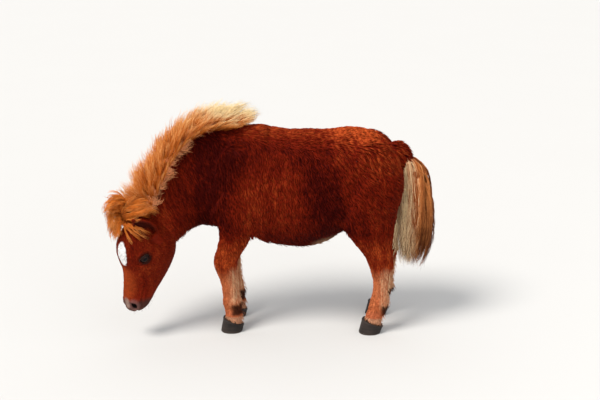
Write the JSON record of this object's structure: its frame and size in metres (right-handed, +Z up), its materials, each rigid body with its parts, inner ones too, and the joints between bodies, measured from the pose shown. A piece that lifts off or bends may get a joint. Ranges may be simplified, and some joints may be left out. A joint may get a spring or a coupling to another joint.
{
  "type": "shetland pony foal",
  "caption": "Life-size still model of a Shetland pony foal standing with its head lowered to graze and turned a little to its left.",
  "frame": {"origin": "middle of the model's box, on the ground that the hooves stand on", "axes": "+Z up; the foal faces -X, so +X runs back along the body; -Y is the side of its left legs"},
  "size_m": [1.088, 0.3608, 0.7771],
  "materials": {
    "coat": "short, soft, deep chestnut foal coat",
    "long_hair": "soft orange to cream mane and tail hair",
    "eye": "dark, wet and glossy",
    "hoof": "dark grey horn with fine growth rings"
  },
  "bodies": {
    "root": {"torso": "coat", "neck": "coat", "head": "coat", "ear_left": "coat", "ear_right": "coat", "eye_left": "eye", "eye_right": "eye", "fore_leg_left": "coat", "fore_leg_right": "coat", "hind_leg_left": "coat", "hind_leg_right": "coat", "hoof_fore_left": "hoof", "hoof_fore_right": "hoof", "hoof_hind_left": "hoof", "hoof_hind_right": "hoof", "tail": "long_hair"}
  },
  "joints": []
}
